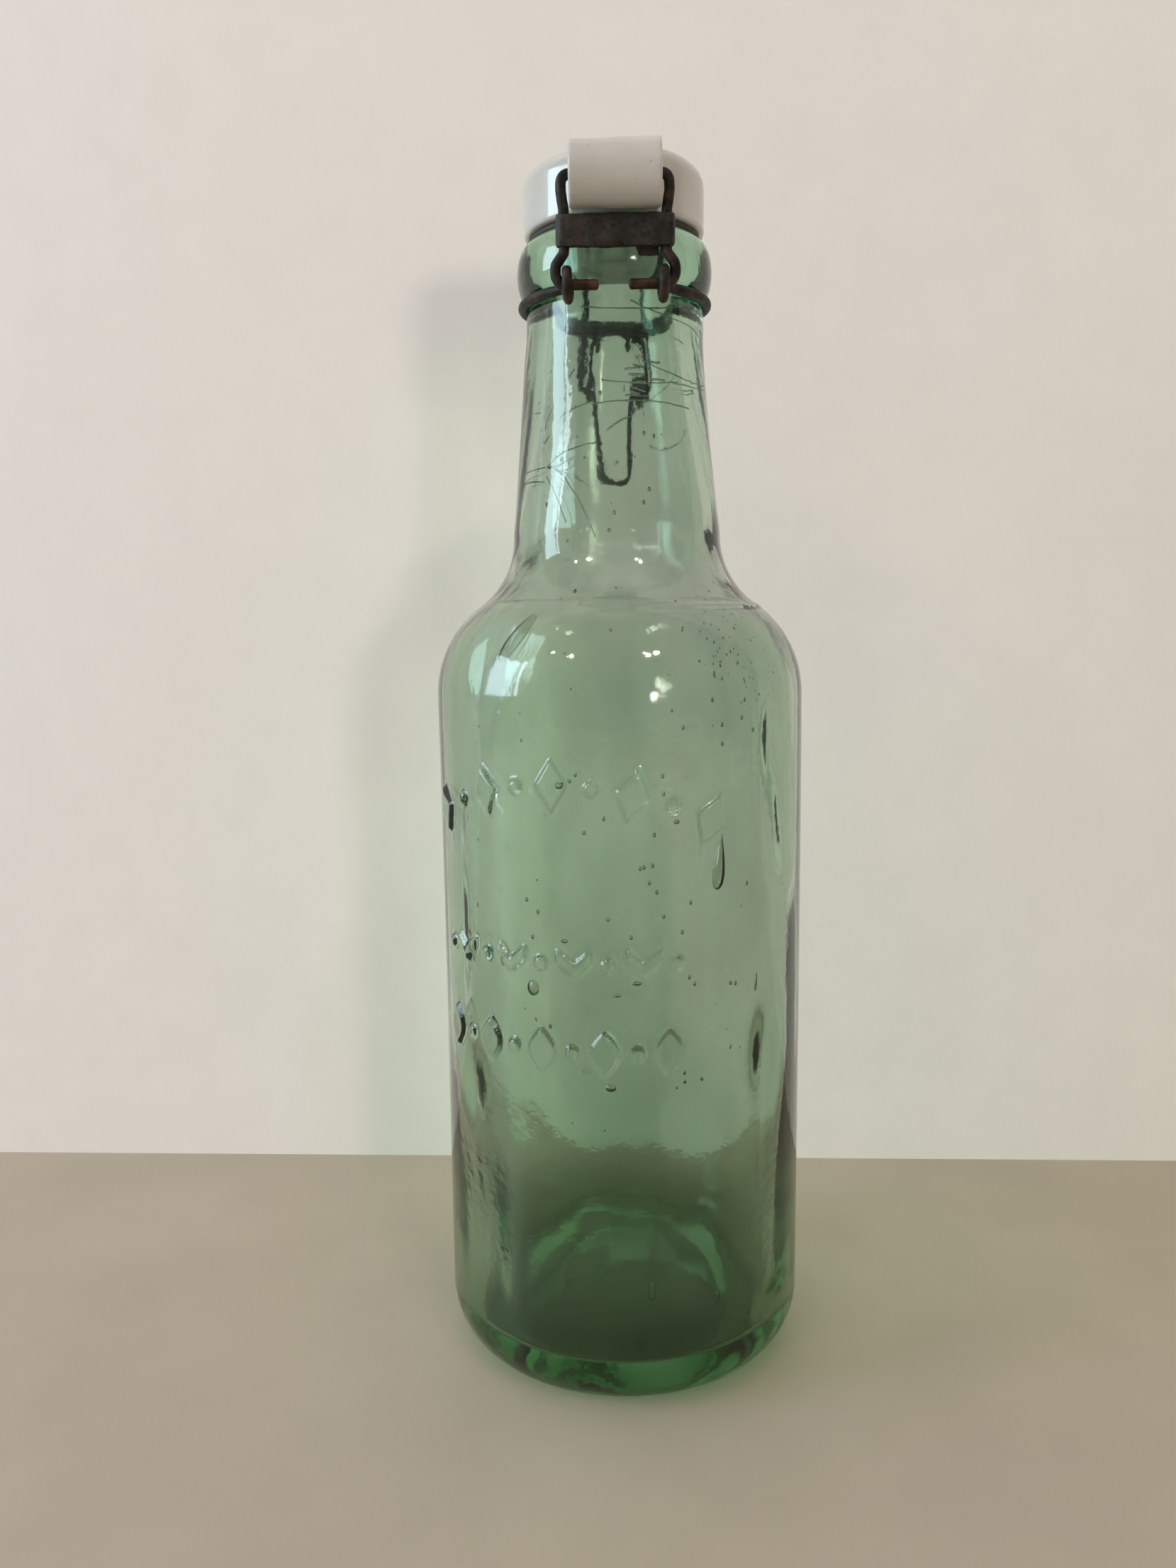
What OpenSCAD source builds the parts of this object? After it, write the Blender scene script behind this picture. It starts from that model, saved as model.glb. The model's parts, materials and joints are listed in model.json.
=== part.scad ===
// Antique one-litre bottle with a porcelain cap, a front hinge bail and a rear toggle latch.
// Millimetres, +Z up, origin at the centre of the resting face, hinge at -Y, latch at +Y.

/* [Bottle] */
// Outer diameter of the body
body_d = 88; // [70:0.5:110]
// Height of the glass from the resting face to the lip
glass_h = 264.6; // [240:0.2:290]
// Height at which the body starts to turn into the shoulder
shoulder_z = 161; // [130:0.5:185]
// Radius of the rounded shoulder
shoulder_r = 26; // [15:0.5:32]
// Radius of the hollow curve between shoulder and neck
neck_fillet = 20; // [10:0.5:28]
// Outer diameter of the neck where it meets the shoulder curve
neck_foot_d = 49.2; // [40:0.2:60]
// Outer diameter of the neck just below the wire groove
neck_top_d = 41.4; // [34:0.2:48]
// Thickness of the body and neck wall
wall = 3.6; // [2.5:0.1:6]
// Thickness of the glass at the inside corner of the base
base_t = 9; // [5:0.5:14]
// Rise of the push-up under the base
kick_h = 9; // [3:0.5:20]
// Height of the rounded heel
heel_h = 13; // [6:0.5:20]

/* [Finish] */
// Diameter of the rounded bead under the lip
bead_d = 45.4; // [42:0.2:50]
// Diameter of the groove that holds the neck ring
groove_d = 40.8; // [38:0.2:44]
// Diameter of the mouth
mouth_d = 27; // [22:0.5:30]

/* [Cap] */
// Diameter of the porcelain cap
cap_d = 42; // [38:0.5:48]
// Height of the porcelain cap over the gasket
cap_h = 15; // [10:0.5:20]
// Radius of the rounded upper edge
cap_round = 4.4; // [1:0.2:6]
// Depth the plug reaches into the mouth
plug_depth = 2.6; // [1:0.1:3]
// Diameter of the hinge barrel
barrel_d = 13.4; // [11:0.2:17]
// Length of the hinge barrel
barrel_l = 19.6; // [16:0.2:28]
// Width of the latch nose at the rear
nose_w = 12; // [6:0.5:16]
// Thickness of the rubber gasket
gasket_t = 1.8; // [1:0.1:3]

/* [Wires] */
// Wire diameter of the hinge bail
bail_wire = 2.3; // [1.6:0.1:3]
// Wire diameter of the neck ring
ring_wire = 2.2; // [1.6:0.1:3]
// Wire diameter of the lever and the link
latch_wire = 1.9; // [1.4:0.1:2.6]
// Radial play of a wire in its bearing
play = 0.08; // [0.04:0.01:0.1]
// Distance from the lever pivot to the link pivot
crank = 12; // [9:0.5:15]
// How far the crank stands past its dead line when closed, in degrees
over_centre = 10; // [4:1:20]
// Length of the lever handle below the link pivot
handle_l = 24.4; // [16:0.2:34]
// Width of the handle between wire centres
handle_w = 9; // [6:0.5:12]

/* [Hidden] */
$fn = 64;

glass_col = [0.62, 0.76, 0.66, 0.55];
iron_col = [0.16, 0.13, 0.12];
plate_col = [0.20, 0.17, 0.16];
porcelain_col = [0.93, 0.92, 0.88];
rubber_col = [0.12, 0.11, 0.10];

// glass levels
body_r = body_d / 2;
neck_foot_r = neck_foot_d / 2;
neck_top_r = neck_top_d / 2;
bead_r = bead_d / 2;
groove_r = groove_d / 2;
mouth_r = mouth_d / 2;
shoulder_x = body_r - shoulder_r;
fillet_x = neck_foot_r + neck_fillet;
join_r = shoulder_r + neck_fillet;
fillet_z = shoulder_z + sqrt(pow(join_r, 2) - pow(fillet_x - shoulder_x, 2));
shoulder_sweep = atan2(fillet_z - shoulder_z, fillet_x - shoulder_x);
bead_top = glass_h - 4.6;
bead_bottom = glass_h - 11.6;
groove_z = glass_h - 13.4;
neck_top_z = glass_h - 16;
heel_w = 9.5;
foot_r = body_r - heel_w;
kick_r = foot_r - 6;
inner_corner = 9;

// hinge and latch frame (Y, Z)
cap_z = glass_h + gasket_t + 0.05;
ring_wr = ring_wire / 2;
bail_wr = bail_wire / 2;
latch_wr = latch_wire / 2;
ring_r = groove_r + ring_wr + 0.02;
front_hole_r = 1.8;
front_eye_x = 10.4;
hinge = [-24, groove_z - 0.9];
bore = [-27.5, cap_z + 5.3];
bail_lean = atan2(hinge.x - bore.x, bore.y - hinge.y);
bail_l = norm(bore - hinge);
rear_eye_x = 5.2;
eye_hole_r = latch_wr + play;
lever_eye_wr = latch_wr + 0.05;
lever_eye_r = eye_hole_r + lever_eye_wr;
pivot = [25.6, groove_z];
arm_x = 7.5;
link_x = 10.3;
crank_dir = [cos(-90 - over_centre), sin(-90 - over_centre)];
link_pivot = pivot + crank * crank_dir;
bar = [22.9, cap_z + 5.1];
nose_gap = 0.6;
nose_over = 0.8;
nose_tip = bar.x + nose_over;
nose_z = bar.y - latch_wr - nose_gap;
sheet = 0.6;
plate_h = 6.4;
plate_air = 0.05;
// a wire is built from bars and arcs that meet inside a ball a hair larger than the wire
seam = 0.05;
bead = 0.03;

function unit(v) = v / norm(v);
function arc2(c, r, a0, a1, n) = [for (i = [0 : n]) c + r * [cos(a0 + (a1 - a0) * i / n), sin(a0 + (a1 - a0) * i / n)]];
function oval2(c, rx, rz, a0, a1, n) =
    [for (i = [0 : n]) c + [rx * cos(a0 + (a1 - a0) * i / n), rz * sin(a0 + (a1 - a0) * i / n)]];
// neck radius between the shoulder curve (t = 1) and the groove (t = 0)
function neck_r(t) = neck_top_r + (neck_foot_r - neck_top_r) * pow(t, 1.4);
function in3(x, p) = [x, p.x, p.y];

// round bar from a to b
module bar_between(a, b, r) {
    d = b - a;
    translate(a) rotate([0, acos(d.z / norm(d)), atan2(d.y, d.x)]) cylinder(r = r, h = norm(d));
}

// arc of wire at corner b, tangent to a-b and b-c, with a ball at each end
module bend(a, b, c, bend_r, r) {
    u = unit(b - a);
    v = unit(c - b);
    turn = acos(u * v);
    w = unit(v - (u * v) * u);
    centre = b - u * bend_r * tan(turn / 2) + w * bend_r;
    ax = -w;
    az = cross(ax, u);
    cut = seam / bend_r * 180 / PI;
    multmatrix([[ax.x, u.x, az.x, centre.x], [ax.y, u.y, az.y, centre.y],
                [ax.z, u.z, az.z, centre.z], [0, 0, 0, 1]]) {
        rotate([0, 0, cut]) rotate_extrude(angle = turn - 2 * cut) translate([bend_r, 0]) circle(r = r);
        for (t = [0, turn]) rotate([0, 0, t]) translate([bend_r, 0, 0]) sphere(r = r + bead);
    }
}

function bend_trim(a, b, c, bend_r) = bend_r * tan(acos(unit(b - a) * unit(c - b)) / 2);

// wire through the points p, with a bend radius for every inner point
module wire(p, radii, r) {
    last = len(p) - 1;
    for (i = [0 : last - 1]) {
        u = unit(p[i + 1] - p[i]);
        t0 = i == 0 ? 0 : seam + bend_trim(p[i - 1], p[i], p[i + 1], radii[i - 1]);
        t1 = i == last - 1 ? 0 : seam + bend_trim(p[i], p[i + 1], p[i + 2], radii[i]);
        bar_between(p[i] + u * t0, p[i + 1] - u * t1, r);
    }
    for (i = [1 : last - 1]) bend(p[i - 1], p[i], p[i + 1], radii[i - 1], r);
}

// closed wire eye round an axis along X, with a hole of radius hole_r
module eye(x, c, hole_r, r) {
    translate(in3(x, c)) rotate([0, 90, 0]) rotate_extrude() translate([hole_r + r, 0]) circle(r = r);
}

outer_profile = concat(
    [[0, kick_h]],
    [for (i = [1 : 8]) [kick_r * i / 8, kick_h * pow(cos(90 * i / 8), 1.2)]],
    [[foot_r, 0]],
    oval2([foot_r, heel_h], heel_w, heel_h, -80, 0, 8),
    arc2([shoulder_x, shoulder_z], shoulder_r, 0, shoulder_sweep, 10),
    arc2([fillet_x, fillet_z], neck_fillet, 180 + shoulder_sweep - 6, 184, 7),
    [for (i = [0 : 10]) let (t = 1 - i / 10) [neck_r(t), fillet_z + (neck_top_z - fillet_z) * (1 - t)]],
    [[groove_r, groove_z - 1.2], [groove_r, groove_z + 1.2]],
    [[bead_r - 0.9, bead_bottom], [bead_r - 0.1, bead_bottom + 1.4], [bead_r, bead_bottom + 3],
     [bead_r - 0.15, bead_top - 0.6], [bead_r - 0.6, bead_top + 1.8], [bead_r - 1.1, glass_h - 1.3],
     [bead_r - 2, glass_h - 0.3], [bead_r - 2.7, glass_h]]);

inner_r = body_r - wall;
floor_r = inner_r - inner_corner;
floor_z = base_t;
inner_profile = concat(
    [[0, floor_z + kick_h * 0.9]],
    [for (i = [1 : 8]) [floor_r * i / 8, floor_z + kick_h * 0.9 * pow(cos(90 * i / 8), 1.5)]],
    arc2([floor_r, floor_z + inner_corner], inner_corner, -80, 0, 7),
    arc2([shoulder_x, shoulder_z], shoulder_r - wall, 0, shoulder_sweep, 9),
    arc2([fillet_x, fillet_z], neck_fillet + wall, 180 + shoulder_sweep - 6, 184, 7),
    [for (i = [0 : 8]) let (t = 1 - i / 8) [neck_r(t) - wall, fillet_z + (neck_top_z - 4 - fillet_z) * (1 - t)]],
    [[mouth_r + 0.6, groove_z - 1], [mouth_r, groove_z + 3], [mouth_r, glass_h - 1], [mouth_r + 0.9, glass_h],
     [mouth_r + 0.9, glass_h + 1], [0, glass_h + 1]]);

module glass_bottle() {
    color(glass_col) difference() {
        rotate_extrude() polygon(concat(outer_profile, [[0, glass_h]]));
        rotate_extrude() polygon(inner_profile);
    }
}

module neck_ring() {
    // open at the front: the wire ends turn out into two upright eyes
    end_a = asin(front_eye_x / ring_r);
    end_y = -ring_r * cos(end_a);
    stem_r = ring_wr - 0.06;
    color(iron_col) {
        translate([0, 0, groove_z]) rotate([0, 0, -90 + end_a])
            rotate_extrude(angle = 360 - 2 * end_a) translate([ring_r, 0]) circle(r = ring_wr);
        for (s = [-1, 1]) {
            eye(s * front_eye_x, hinge, front_hole_r, ring_wr);
            translate([s * front_eye_x, end_y, groove_z]) sphere(r = ring_wr + bead);
            bar_between([s * front_eye_x, end_y, groove_z],
                        in3(s * front_eye_x, hinge + [front_hole_r + ring_wr, 0.3]), stem_r);
            eye(s * rear_eye_x, pivot, eye_hole_r, ring_wr);
            bar_between([s * rear_eye_x, sqrt(pow(ring_r, 2) - pow(rear_eye_x, 2)), groove_z],
                        in3(s * rear_eye_x, pivot - [eye_hole_r + ring_wr, 0]), stem_r);
        }
    }
}

// bail drawn flat: x sideways, y up from the hinge axis to the bore axis
leg_x = 11;
bow_x = 13;
bulge_x = 11.5;
pin_end = 3;
plate_y = 10.7;
// the legs run straight through the whole plate and bend only outside it
leg_foot = plate_y - plate_h / 2 - 1.2;
leg_top = plate_y + plate_h / 2 + 1;
bail_side = [[pin_end, 0], [bow_x, 0], [bow_x - 0.2, 4], [leg_x, leg_foot],
             [leg_x, leg_top], [bulge_x, leg_top + 3.2], [bulge_x, bail_l]];
bail_bends = [2.3, 1.7, 2, 3, 4, 1.8];

module on_bail() {
    translate(in3(0, hinge)) rotate([bail_lean, 0, 0]) children();
}

module hinge_bail() {
    side = [for (p = bail_side) [p.x, 0, p.y]];
    far = [for (i = [len(bail_side) - 1 : -1 : 0]) [-bail_side[i].x, 0, bail_side[i].y]];
    back = [for (i = [len(bail_bends) - 1 : -1 : 0]) bail_bends[i]];
    color(iron_col) on_bail() wire(concat(side, far), concat(bail_bends, back), bail_wr);
}

module bail_plate() {
    // sheet strip folded flat round both legs, its end overlapping behind
    inner = bail_wr + plate_air;
    outer = bail_wr + sheet;
    color(plate_col) on_bail() translate([0, 0, plate_y - plate_h / 2]) {
        difference() {
            union() {
                for (s = [-1, 1]) translate([s * leg_x, 0, 0]) cylinder(r = outer, h = plate_h);
                translate([-leg_x, -outer + 0.01, 0]) cube([2 * leg_x, 2 * outer - 0.02, plate_h]);
            }
            for (s = [-1, 1]) translate([s * leg_x, 0, -1]) cylinder(r = inner, h = plate_h + 2);
            translate([-leg_x, -inner + 0.01, -1]) cube([2 * leg_x, 2 * inner - 0.02, plate_h + 2]);
        }
        // tab of the overlapping end
        translate([5.4, bail_wr - 0.1, -1.8]) cube([4, sheet, plate_h]);
    }
}

cap_r = cap_d / 2;
plug_r = mouth_r - 2;
cap_top = cap_z + cap_h;

module porcelain_cap() {
    lug_r = barrel_d / 2;
    color(porcelain_col) difference() {
        union() {
            rotate_extrude() polygon(concat(
                [[0, glass_h - plug_depth], [plug_r - 1.2, glass_h - plug_depth],
                 [plug_r - 0.4, glass_h - plug_depth + 0.6], [plug_r, cap_z], [cap_r - 0.8, cap_z],
                 [cap_r - 0.2, cap_z + 0.3], [cap_r, cap_z + 0.9]],
                arc2([cap_r - cap_round, cap_top - cap_round], cap_round, 0, 84, 8),
                [[cap_r * 0.45, cap_top + 0.25], [0, cap_top + 0.4]]));
            translate([-barrel_l / 2, bore.x, bore.y]) rotate([0, 90, 0]) cylinder(r = lug_r, h = barrel_l);
            // web between barrel and cap
            translate([-barrel_l / 2, bore.x, cap_z + 0.6]) cube([barrel_l, 12, lug_r + 3.7]);
            // latch nose with a sloping ledge
            translate([-nose_w / 2, 0, 0]) rotate([90, 0, 90]) linear_extrude(nose_w)
                polygon([[cap_r - 3, cap_z + 0.6], [cap_r + 1, cap_z + 0.6], [nose_tip, nose_z - 2.2],
                         [nose_tip, nose_z - 0.25], [bar.x - 1.2, nose_z], [cap_r - 3, nose_z]]);
        }
        translate([-barrel_l, bore.x, bore.y]) rotate([0, 90, 0]) cylinder(r = bail_wr + play, h = 2 * barrel_l);
    }
}

module rubber_gasket() {
    color(rubber_col) rotate_extrude() polygon([
        [plug_r + 0.05, cap_z - gasket_t], [cap_r - 1.9, cap_z - gasket_t], [cap_r - 1.4, cap_z - gasket_t * 0.75],
        [cap_r - 1.4, cap_z - 0.01], [plug_r + 0.05, cap_z - 0.01]]);
}

handle_dir = unit([2.8, -handle_l]);

module latch_lever() {
    tip = link_pivot + handle_l * handle_dir;
    waist = link_pivot + 8 * handle_dir;
    arm_end = link_pivot - lever_eye_r * crank_dir;
    eye_foot = link_pivot + lever_eye_r * handle_dir;
    hx = handle_w / 2;
    color(iron_col) {
        for (s = [-1, 1]) {
            wire([in3(s * 3.6, pivot), in3(s * arm_x, pivot), in3(s * arm_x, arm_end)], [1.9], latch_wr);
            eye(s * arm_x, link_pivot, eye_hole_r, lever_eye_wr);
        }
        wire([in3(-arm_x, eye_foot), in3(-hx, waist), in3(-hx, tip),
              in3(hx, tip), in3(hx, waist), in3(arm_x, eye_foot)],
             [6, hx - 0.3, hx - 0.3, 6], latch_wr);
    }
}

module latch_link() {
    pin_x = arm_x - latch_wr - 0.6;
    color(iron_col)
        wire([in3(-pin_x, link_pivot), in3(-link_x, link_pivot), in3(-link_x, bar),
              in3(link_x, bar), in3(link_x, link_pivot), in3(pin_x, link_pivot)],
             [1.7, 3.2, 3.2, 1.7], latch_wr);
}

glass_bottle();
neck_ring();
hinge_bail();
bail_plate();
porcelain_cap();
rubber_gasket();
latch_lever();
latch_link();
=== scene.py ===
"""Antique aqua glass bottle with a porcelain cap and a wire closure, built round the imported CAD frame."""
import json
import math

import bmesh
import bpy
import numpy as np
from mathutils import Matrix, Vector


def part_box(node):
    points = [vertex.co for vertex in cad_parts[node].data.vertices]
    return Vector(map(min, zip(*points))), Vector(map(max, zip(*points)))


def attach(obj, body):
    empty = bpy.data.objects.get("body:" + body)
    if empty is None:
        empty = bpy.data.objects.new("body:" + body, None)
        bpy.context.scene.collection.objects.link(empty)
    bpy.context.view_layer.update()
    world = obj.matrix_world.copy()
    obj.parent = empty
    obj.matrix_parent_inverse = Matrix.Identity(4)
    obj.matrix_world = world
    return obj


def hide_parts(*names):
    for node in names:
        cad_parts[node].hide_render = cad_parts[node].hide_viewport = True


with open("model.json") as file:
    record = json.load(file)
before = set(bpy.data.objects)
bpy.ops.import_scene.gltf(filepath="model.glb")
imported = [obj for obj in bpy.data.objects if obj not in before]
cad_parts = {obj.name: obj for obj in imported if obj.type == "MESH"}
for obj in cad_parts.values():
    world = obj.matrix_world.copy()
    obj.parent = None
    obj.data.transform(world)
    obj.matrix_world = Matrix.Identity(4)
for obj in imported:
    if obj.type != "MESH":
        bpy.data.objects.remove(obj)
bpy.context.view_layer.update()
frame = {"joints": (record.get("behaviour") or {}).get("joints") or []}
scene = bpy.context.scene

MM = 0.001

# ---- sizes in mm, as in the CAD part
AXES = {joint["name"]: np.array(joint["pos_m"][1:]) / MM for joint in frame["joints"]}
# places (y, z) of the four hinges, all along X
HINGE = AXES["bail_swing"]
BORE = AXES["cap_tilt"]
PIVOT = AXES["lever_swing"]
LINK_PIVOT = AXES["link_swing"]
CRANK_DIR = (LINK_PIVOT - PIVOT) / np.linalg.norm(LINK_PIVOT - PIVOT)

# glass
LIP = round(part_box("glass_bottle")[1].z / MM, 2)
BODY_R = 44.0
FOOT_R = 34.5
HEEL_UP = 13.0
SHOULDER_Z = 161.0
SHOULDER_ROUND = 26.0
FILLET = 20.0
NECK_FOOT_R = 24.6
NECK_TOP_R = 20.7
NECK_TOP_Z = LIP - 16
GROOVE = LIP - 13.4
BEAD_Z = LIP - 6.3
MOUTH_R = 13.5
WALL = 3.5
HOLLOW_R = BODY_R - WALL - 0.1
FLOOR_Z = 9.0
CORNER = 9.0
WELL_R = 31.4
WELL_UP = 8.1
PUSH_R = 28.5
PUSH_UP = 9.0

# cap
CAP_Z = LIP + 1.85
CAP_R = 21.0
CAP_TOP = CAP_Z + 15.0
CAP_EDGE = 4.4
BARREL_R = 6.7
BARREL_HALF = 9.8
BAR = np.array([22.9, CAP_Z + 5.1])

# wires: thickness from the middle, step of their paths, bends, then how far out in x each part runs
RING_WIRE = 1.1
BAIL_WIRE = 1.15
LATCH_WIRE = 0.95
WIRE_STEP = 0.35
RING_R = 21.52
FRONT_EYE_R = 2.9
REAR_EYE_R = 2.13
COIL_R = 2.03
EYE_X = 10.4
BOW_X = 13.0
LEG_X = 11.0
TOP_X = 11.5
CRANK_X = 8.0
LINK_X = 10.3


# ---- helpers
def add_object(name, data):
    obj = bpy.data.objects.new(name, data)
    scene.collection.objects.link(obj)
    return obj


def mesh_object(name, part):
    """A new object with the part's vertices, given in mm, and its faces."""
    verts, faces = part
    mesh = bpy.data.meshes.new(name)
    verts = [tuple(float(c) * MM for c in vert) for vert in verts]
    mesh.from_pydata(verts, [], [tuple(int(i) for i in face) for face in faces])
    return add_object(name, mesh)


def finish_piece(piece, body, node):
    """Shades a piece smooth, and puts it on its body and in place of its CAD node."""
    piece.data.polygons.foreach_set("use_smooth", [True] * len(piece.data.polygons))
    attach(piece, body)
    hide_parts(node)
    return piece


def new_piece(name, part, body, node):
    piece = mesh_object(name, part)
    piece.data.validate()
    piece.data.update()
    return finish_piece(piece, body, node)


def point_normals_out(mesh):
    work = bmesh.new()
    work.from_mesh(mesh)
    bmesh.ops.recalc_face_normals(work, faces=work.faces)
    work.to_mesh(mesh)
    work.free()


def smoothstep(a, b, x):
    t = np.clip((x - a) / (b - a), 0, 1)
    return t * t * (3 - 2 * t)


def band(x, a, b, c, d):
    """0 outside a to d, 1 between b and c, smooth in between."""
    return smoothstep(a, b, x) * (1 - smoothstep(c, d, x))


def quarter_round(x, a, b):
    """Rises from 0 at a to 1 at b along a quarter of an ellipse, steep first."""
    t = (b - np.clip(x, a, b)) / (b - a)
    return np.sqrt(1 - t ** 2)


def waves(seed, count, most_turns, most_per_mm):
    """A smooth random field over (angle in degrees, height in mm), between about -1 and 1."""
    rng = np.random.default_rng(seed)
    terms = []
    for _ in range(count):
        turns = int(rng.integers(1, most_turns + 1))
        per_mm = rng.uniform(-most_per_mm, most_per_mm)
        phase = rng.uniform(0, 6.283)
        terms.append((rng.uniform(0.5, 1), turns, per_mm, phase))
    norm = 1.6 * math.sqrt(sum(term[0] ** 2 for term in terms) / 2)

    def field(degs, z):
        return sum(size * np.sin(turns * np.radians(degs) + per_mm * z + phase)
                   for size, turns, per_mm, phase in terms) / norm

    return field


def resample(points, step):
    """The same path with points at even steps."""
    points = np.array(points)
    way = np.concatenate([[0], np.cumsum(np.linalg.norm(np.diff(points, axis=0), axis=1))])
    keep = np.concatenate([[True], np.diff(way) > 1e-6])
    points = points[keep]
    way = way[keep]
    count = max(4, int(way[-1] / step))
    even = np.linspace(0, way[-1], count + 1)
    return np.stack([np.interp(even, way, points[:, i]) for i in range(3)], 1)


def arc_path(points, radii):
    """A dense path through 3-D points with a bend radius at every inner point."""
    points = [np.array(point, float) for point in points]
    path = [points[0]]
    for before, corner, after, radius in zip(points, points[1:], points[2:], radii):
        way_in = (corner - before) / np.linalg.norm(corner - before)
        way_out = (after - corner) / np.linalg.norm(after - corner)
        cosine = way_in @ way_out
        turn = math.acos(cosine)
        side = way_out - cosine * way_in
        side /= np.linalg.norm(side)
        centre = corner - way_in * radius * math.tan(turn / 2) + side * radius
        for a in np.linspace(0, turn, max(3, int(turn * radius / WIRE_STEP)) + 1):
            path.append(centre - side * radius * math.cos(a) + way_in * radius * math.sin(a))
    path.append(points[-1])
    return resample(path, WIRE_STEP)


def soften(points, spacing):
    """Evens out a path, cuts its corners twice and gives it the step of the wires."""
    points = resample(points, spacing)
    for _ in range(2):
        near = points[:-1] * 0.75 + points[1:] * 0.25
        far = points[:-1] * 0.25 + points[1:] * 0.75
        points = np.concatenate([[points[0]], np.stack([near, far], 1).reshape(-1, 3), [points[-1]]])
    return resample(points, WIRE_STEP)


def on_plane(x, place):
    return np.array([x, place[0], place[1]])


def coil(centre, radius, degs, x_from, x_to):
    """Points of a coil round an axis along X through centre, which is (y, z)."""
    xs = np.linspace(x_from, x_to, len(degs))
    return [on_plane(x, centre + radius * np.array([math.cos(a), math.sin(a)]))
            for x, a in zip(xs, np.radians(degs))]


def ring_of(radius, z, degs):
    """Points at the angles degs round the Z axis, from the front towards +X."""
    a = np.radians(degs)
    return np.stack([radius * np.sin(a), -radius * np.cos(a), np.broadcast_to(z, a.shape)], 1)


def quads(rings, columns, first=0, inward=False):
    """Faces between closed rings of so many columns."""
    faces = []
    for i in range(rings - 1):
        low = first + i * columns
        high = low + columns
        for k in range(columns):
            after = (k + 1) % columns
            face = (low + k, low + after, high + after, high + k)
            faces.append((face[0], face[3], face[2], face[1]) if inward else face)
    return faces


def fan(centre, first, columns):
    """Triangles from one vertex to a closed ring."""
    return [(centre, first + (k + 1) % columns, first + k) for k in range(columns)]


def flip(faces):
    return [tuple(reversed(face)) for face in faces]


def closed_form(rings, start, end):
    """Vertices and faces of a stack of equal rings between two end points."""
    columns = len(rings[0])
    verts = [point for ring in rings for point in ring] + [start, end]
    faces = quads(len(rings), columns)
    faces += fan(len(verts) - 2, 0, columns)
    faces += flip(fan(len(verts) - 1, (len(rings) - 1) * columns, columns))
    return verts, faces


def join(parts):
    verts = []
    faces = []
    for part_verts, part_faces in parts:
        base = len(verts)
        verts += list(part_verts)
        faces += [tuple(i + base for i in face) for face in part_faces]
    return verts, faces


def tube_mesh(path, radius, sides=18, wobble=0.035, seed=0):
    """A round wire along the path, with small dents and rounded ends."""
    along = np.gradient(path, axis=0)
    along /= np.linalg.norm(along, axis=1)[:, None]
    start = np.array([0.0, 0, 1]) if abs(along[0][2]) < 0.9 else np.array([1.0, 0, 0])
    u = np.cross(along[0], start)
    axes = []
    for tangent in along:
        u = u - (u @ tangent) * tangent
        u /= np.linalg.norm(u)
        axes.append((u.copy(), np.cross(tangent, u)))
    # round ends: radius, and how far in from the end
    dome = [(max(share * radius, 0.001), 0.55 * radius * (1 - math.sqrt(1 - share ** 2)))
            for share in (0, 0.35, 0.62, 0.83, 0.95, 1)]
    stations = [(path[0] + along[0] * way, size, axes[0]) for size, way in dome]
    for point, pair in zip(path, axes):
        if min(np.linalg.norm(point - path[0]), np.linalg.norm(point - path[-1])) > 0.6 * radius:
            stations.append((point, radius, pair))
    stations += [(path[-1] - along[-1] * way, size, axes[-1]) for size, way in reversed(dome)]
    phase = np.random.default_rng(seed + 11).uniform(0, 6.28, 4)
    turns = 2 * np.pi * np.arange(sides) / sides
    way = 0.0
    previous = path[0]
    rings = []
    for centre, size, (u, v) in stations:
        way += np.linalg.norm(centre - previous)
        previous = centre
        dents = (0.5 * np.sin(2 * turns + 0.5 * way + phase[0])
                 + 0.3 * np.sin(3 * turns - 0.9 * way + phase[1])
                 + 0.35 * np.sin(turns + 2.3 * way + phase[2])
                 + 0.2 * np.sin(5 * turns + 3.7 * way + phase[3]))
        rings.append(centre + (size * (1 + wobble * dents))[:, None]
                     * (np.outer(np.cos(turns), u) + np.outer(np.sin(turns), v)))
    return closed_form(rings, stations[0][0], stations[-1][0])


# ---- the glass's profile
FILLET_X = NECK_FOOT_R + FILLET
SHOULDER_X = BODY_R - SHOULDER_ROUND
FILLET_Z = SHOULDER_Z + math.sqrt((SHOULDER_ROUND + FILLET) ** 2 - (FILLET_X - SHOULDER_X) ** 2)
SWEEP = math.atan2(FILLET_Z - SHOULDER_Z, FILLET_X - SHOULDER_X)
MEET_Z = SHOULDER_Z + SHOULDER_ROUND * math.sin(SWEEP)


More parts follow.
